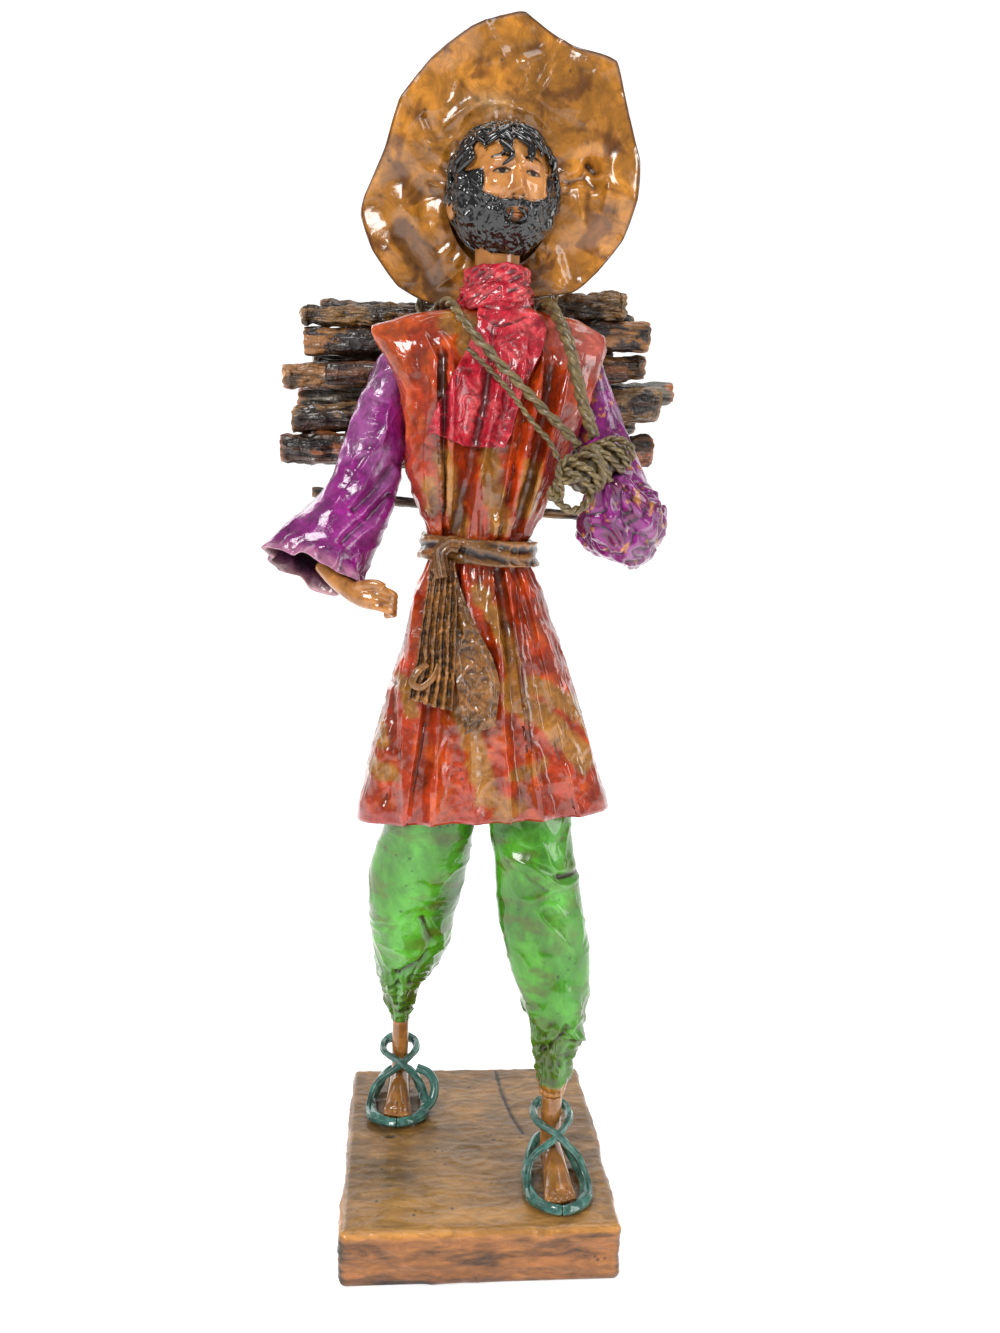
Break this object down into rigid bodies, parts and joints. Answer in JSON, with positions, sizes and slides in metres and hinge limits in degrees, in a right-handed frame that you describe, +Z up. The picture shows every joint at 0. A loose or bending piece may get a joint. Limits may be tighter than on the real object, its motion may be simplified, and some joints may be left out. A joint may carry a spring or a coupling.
{
  "type": "papier-mache figure",
  "caption": "Standing papier-mache figure of a firewood carrier with a wide hat, tunic, sash and rope-tied bundle, on a square block base; a shelf ornament.",
  "frame": {"origin": "centre of the block base's underside", "axes": "+Z up, the figure faces -Y, +X is the viewer's right from the front"},
  "size_m": [0.1848, 0.1369, 0.5259],
  "materials": {
    "base_paper": "antiqued brown paper under satin lacquer",
    "skin": "tan paint under gloss lacquer; hair, beard and brows black",
    "sandal_cord": "teal paint under gloss lacquer",
    "green_paper": "bright green paper with olive wash, gloss lacquer",
    "tunic_paper": "rust and ochre printed paper with brown wash, gloss lacquer",
    "sash_paper": "brown ochre paper, gloss lacquer",
    "kerchief_paper": "crimson paper, gloss lacquer",
    "sleeve_paper": "purple paper, gloss lacquer",
    "hat_paper": "golden brown paper, gloss lacquer",
    "rope": "olive brown twisted cord, lacquered",
    "firewood": "dark bark with tan cut ends, lacquered"
  },
  "bodies": {
    "root": {"base": "base_paper", "left_foot": "skin", "right_foot": "skin", "left_hand": "skin", "head": "skin", "left_sandal": "sandal_cord", "right_sandal": "sandal_cord", "left_trouser_leg": "green_paper", "right_trouser_leg": "green_paper", "tunic": "tunic_paper", "sash": "sash_paper", "neckerchief": "kerchief_paper", "left_sleeve": "sleeve_paper", "right_sleeve": "sleeve_paper", "hat": "hat_paper", "left_shoulder_rope": "rope", "right_shoulder_rope": "rope", "thin_shoulder_cord": "rope", "wrist_wrap": "rope", "left_bundle_tie": "rope", "right_bundle_tie": "rope", "firewood_01": "firewood", "firewood_02": "firewood", "firewood_03": "firewood", "firewood_04": "firewood", "firewood_05": "firewood", "firewood_06": "firewood", "firewood_07": "firewood", "firewood_08": "firewood", "firewood_09": "firewood", "firewood_10": "firewood", "firewood_11": "firewood", "firewood_12": "firewood", "firewood_13": "firewood", "firewood_14": "firewood"}
  },
  "joints": []
}
